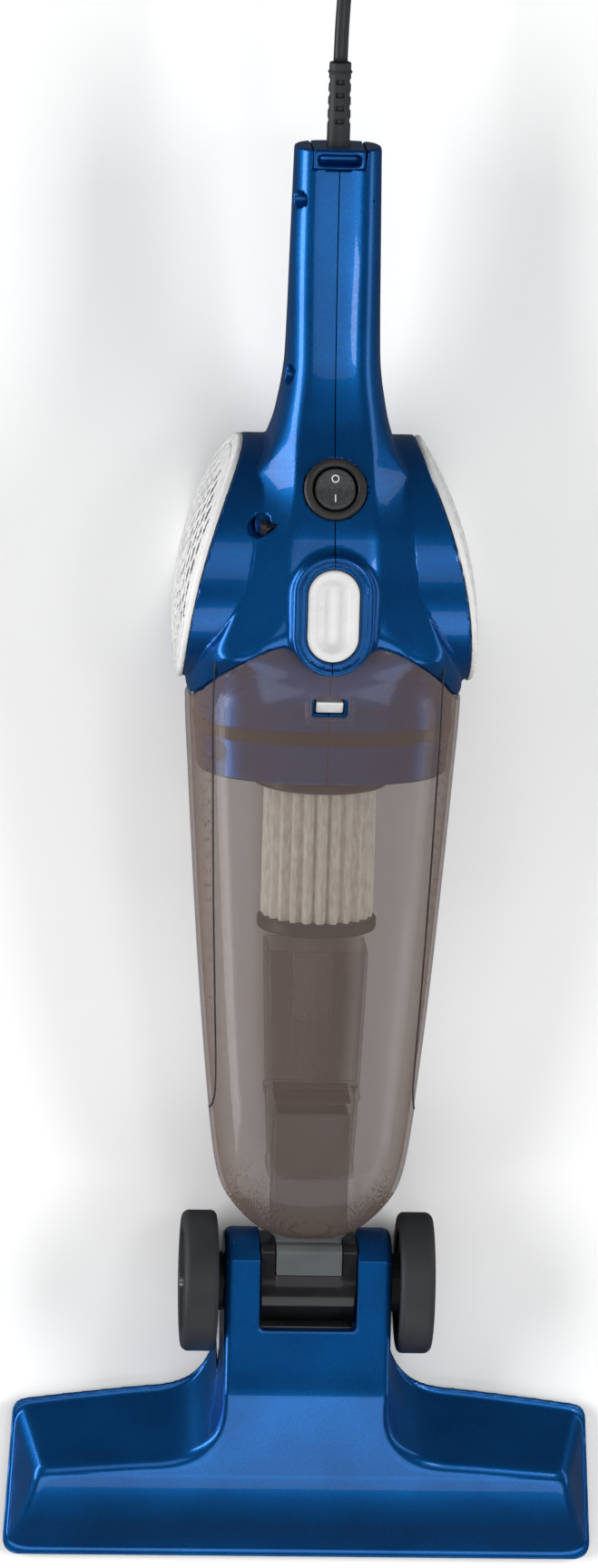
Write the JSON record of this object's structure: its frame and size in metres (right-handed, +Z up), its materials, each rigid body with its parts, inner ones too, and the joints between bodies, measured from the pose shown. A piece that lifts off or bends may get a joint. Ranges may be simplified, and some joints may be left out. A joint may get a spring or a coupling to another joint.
{
  "type": "upright vacuum cleaner",
  "caption": "Corded bagless stick vacuum lying on its back: wide floor head on wheels, clear dust cup with pleated filter, drum-shaped motor unit, slim handle and coiled mains lead.",
  "frame": {"origin": "on the floor, in the middle of the footprint of the vacuum cleaner without its mains cord", "axes": "+X across the floor head, +Y from the floor head to the handle, +Z up, with the body leaning right back and its drum on the floor"},
  "size_m": [0.271, 0.9198, 0.1226],
  "materials": {
    "blue_gloss": "metallic candy blue lacquer",
    "black_gloss": "glossy moulded",
    "black_matt": "fine grain",
    "tyre": "matt",
    "rubber_black": "matt",
    "cord_pvc": "satin sheath",
    "grey_plastic": "satin moulded",
    "white_plastic": "satin moulded",
    "smoke_clear": "smoke tinted, clear",
    "clear_plastic": "clear",
    "filter_paper": "pleated paper",
    "foam": "open-cell foam",
    "felt": "directional pile",
    "steel": "plated",
    "brass": "nickel-brass",
    "copper": "enamelled"
  },
  "bodies": {
    "floor_head": {"head_cover": "blue_gloss", "head_base": "black_matt", "suction_duct": "grey_plastic", "lint_strip_front": "felt", "lint_strip_rear": "felt", "axle_left": "steel", "axle_right": "steel"},
    "wheel_left": {"tyre_left": "tyre", "wheel_hub_left": "black_matt"},
    "wheel_right": {"tyre_right": "tyre", "wheel_hub_right": "black_matt"},
    "cup_unit": {"hinge_barrel": "black_gloss", "neck_tube": "grey_plastic", "dust_cup": "smoke_clear", "inlet_duct": "clear_plastic", "flap_pin": "steel"},
    "flap": {"inlet_flap": "rubber_black"},
    "hand_unit": {"shell_left": "blue_gloss", "shell_right": "blue_gloss", "grille_left": "white_plastic", "grille_right": "white_plastic", "exhaust_foam_left": "foam", "exhaust_foam_right": "foam", "housing_screw_1": "steel", "housing_screw_2": "steel", "housing_screw_3": "steel", "housing_screw_4": "steel", "end_cap": "blue_gloss", "switch_bezel": "black_gloss", "switch_body": "black_matt", "button_spring": "steel", "fan_shroud": "black_matt", "motor_can": "steel", "motor_gasket": "rubber_black", "motor_rear_mount": "rubber_black", "filter_flange": "grey_plastic", "pleated_filter": "filter_paper", "filter_base": "grey_plastic", "cup_gasket": "rubber_black", "supply_lead": "cord_pvc", "motor_lead": "copper", "strain_relief": "rubber_black", "mains_cord": "cord_pvc", "cord_coil": "cord_pvc", "coil_tie": "black_matt", "cord_tail": "cord_pvc", "plug_body": "cord_pvc", "plug_pin_line": "brass", "plug_pin_neutral": "brass"},
    "power_switch": {"switch_rocker": "black_gloss"},
    "cup_release_lever": {"release_button": "white_plastic", "latch_hook": "white_plastic"},
    "fan_rotor": {"armature": "copper", "impeller": "grey_plastic"}
  },
  "joints": [
    {"name": "wheel_left_spin", "type": "hinge", "parent": "floor_head", "child": "wheel_left", "pos_m": [-0.0492, -0.19497, 0.0322], "axis": [1, 0, 0], "continuous": true},
    {"name": "wheel_right_spin", "type": "hinge", "parent": "floor_head", "child": "wheel_right", "pos_m": [0.0492, -0.19497, 0.0322], "axis": [1, 0, 0], "continuous": true},
    {"name": "body_recline", "type": "hinge", "parent": "floor_head", "child": "cup_unit", "pos_m": [0, -0.19497, 0.0322], "axis": [1, 0, 0], "range_deg": [0, 85]},
    {"name": "inlet_flap_swing", "type": "hinge", "parent": "cup_unit", "child": "flap", "pos_m": [0, -0.10622, 0.02959], "axis": [-1, 0, 0], "range_deg": [0, 70], "stiffness_Nm_per_rad": 0.001, "springref_deg": -22.92},
    {"name": "cup_release", "type": "slide", "parent": "cup_unit", "child": "hand_unit", "axis": [0, 0.9963, 0.0856], "range_m": [0, 0.14]},
    {"name": "switch_rock", "type": "hinge", "parent": "hand_unit", "child": "power_switch", "pos_m": [0, 0.17568, 0.11063], "axis": [1, 0, 0], "range_deg": [0, 11]},
    {"name": "release_press", "type": "slide", "parent": "hand_unit", "child": "cup_release_lever", "axis": [0, 0.0856, -0.9963], "range_m": [0, 0.004], "stiffness_N_per_m": 400, "springref_m": -0.002, "deforming": ["button_spring"]},
    {"name": "fan_spin", "type": "hinge", "parent": "hand_unit", "child": "fan_rotor", "pos_m": [0, 0.10393, 0.05789], "axis": [0, 0.9963, 0.0856], "continuous": true}
  ]
}
